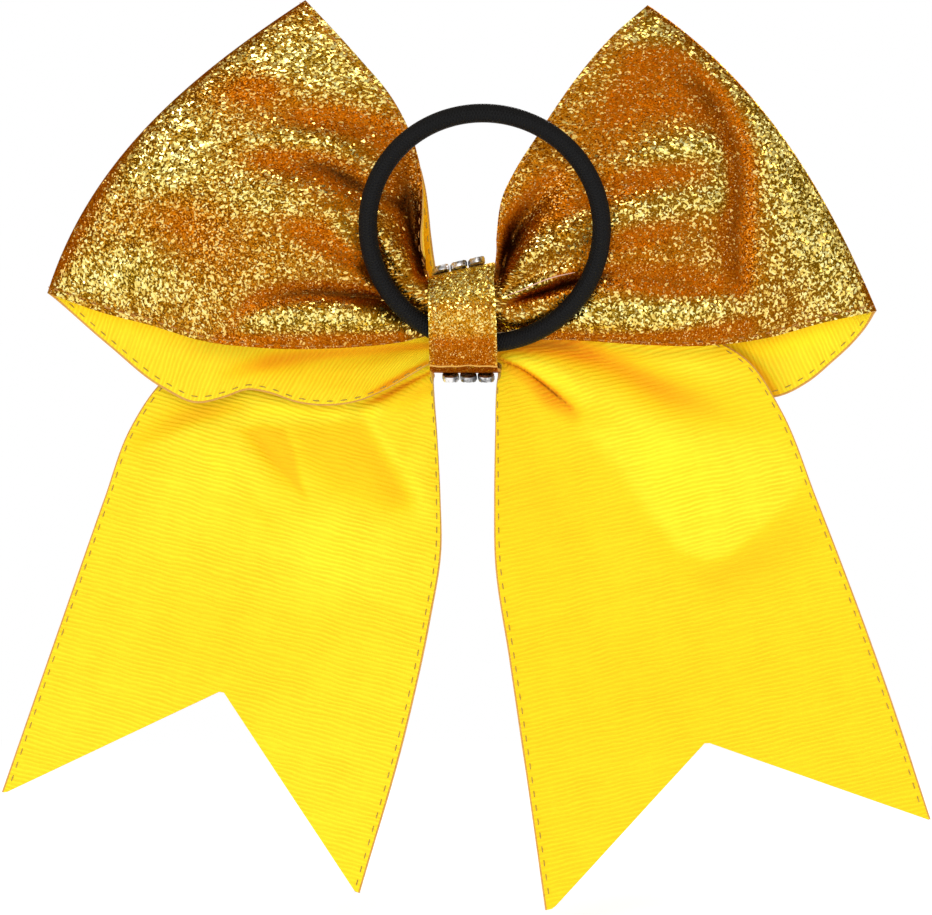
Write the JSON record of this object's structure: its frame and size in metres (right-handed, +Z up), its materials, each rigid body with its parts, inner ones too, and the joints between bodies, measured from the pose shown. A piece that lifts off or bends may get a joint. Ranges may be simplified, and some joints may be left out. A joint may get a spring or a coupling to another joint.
{
  "type": "cheer hair bow",
  "caption": "Two-loop, two-tail ribbon bow with glitter facing, pleated knot, crystal trim and an elastic hair tie behind.",
  "frame": {"origin": "middle of the flat back face of the centre wrap, which rests against the head", "axes": "+Z up along the bow with the tails hanging towards -Z, +X to the right when seen from the back (the longest side), +Y out of the crystal front, -Y out of the back towards the hair tie"},
  "size_m": [0.1852, 0.0341, 0.1818],
  "materials": {
    "grosgrain": "ribbed woven polyester grosgrain, bright yellow",
    "glitter_fabric": "coarse gold glitter on a fabric backing",
    "seam_thread": "olive-gold lockstitch thread",
    "binding_thread": "waxed yellow upholstery thread",
    "glue": "hot-melt glue, milky",
    "elastic_cover": "braided black polyester over elastic",
    "elastic_core": "natural latex",
    "cup_metal": "silver-plated brass cup chain",
    "crystal": "clear faceted stone with a mirrored back"
  },
  "bodies": {
    "knot": {"binding_thread": "binding_thread", "centre_wrap": "glitter_fabric", "wrap_glue": "glue", "pinch_back_layer": "grosgrain", "pinch_middle_layer": "grosgrain", "pinch_front_layer": "grosgrain", "cup_chain_left": "cup_metal", "cup_chain_middle": "cup_metal", "cup_chain_right": "cup_metal", "crystal_left_1": "crystal", "crystal_left_2": "crystal", "crystal_left_3": "crystal", "crystal_left_4": "crystal", "crystal_left_5": "crystal", "crystal_left_6": "crystal", "crystal_left_7": "crystal", "crystal_left_8": "crystal", "crystal_middle_1": "crystal", "crystal_middle_2": "crystal", "crystal_middle_3": "crystal", "crystal_middle_4": "crystal", "crystal_middle_5": "crystal", "crystal_middle_6": "crystal", "crystal_middle_7": "crystal", "crystal_middle_8": "crystal", "crystal_right_1": "crystal", "crystal_right_2": "crystal", "crystal_right_3": "crystal", "crystal_right_4": "crystal", "crystal_right_5": "crystal", "crystal_right_6": "crystal", "crystal_right_7": "crystal", "crystal_right_8": "crystal", "left_loop_glitter": "glitter_fabric", "left_loop_grosgrain": "grosgrain", "left_loop_seam_lower": "seam_thread", "left_loop_seam_upper": "seam_thread", "left_tail_root_glitter": "glitter_fabric", "left_tail_root_grosgrain": "grosgrain", "right_loop_glitter": "glitter_fabric", "right_loop_grosgrain": "grosgrain", "right_loop_seam_lower": "seam_thread", "right_loop_seam_upper": "seam_thread", "right_tail_root_glitter": "glitter_fabric", "right_tail_root_grosgrain": "grosgrain"},
    "hair_tie": {"hair_tie_cover": "elastic_cover", "hair_tie_core": "elastic_core", "hair_tie_join": "elastic_cover"},
    "left_tail": {"left_tail_glitter": "glitter_fabric", "left_tail_grosgrain": "grosgrain", "left_tail_seam_inner": "seam_thread", "left_tail_seam_outer": "seam_thread"},
    "right_tail": {"right_tail_glitter": "glitter_fabric", "right_tail_grosgrain": "grosgrain", "right_tail_seam_inner": "seam_thread", "right_tail_seam_outer": "seam_thread"}
  },
  "joints": [
    {"name": "hair_tie_swing", "type": "hinge", "parent": "knot", "child": "hair_tie", "pos_m": [0.0002, 0.00375, -0.0031], "axis": [0.9833, 0, -0.1822], "range_deg": [-3, 130]},
    {"name": "left_tail_bend", "type": "hinge", "parent": "knot", "child": "left_tail", "pos_m": [-0.033, 0.0195, -0.02], "axis": [1, 0, 0], "range_deg": [-50, 60], "stiffness_Nm_per_rad": 0.002},
    {"name": "right_tail_bend", "type": "hinge", "parent": "knot", "child": "right_tail", "pos_m": [0.033, 0.0122, -0.02], "axis": [1, 0, 0], "range_deg": [-50, 60], "stiffness_Nm_per_rad": 0.002}
  ]
}
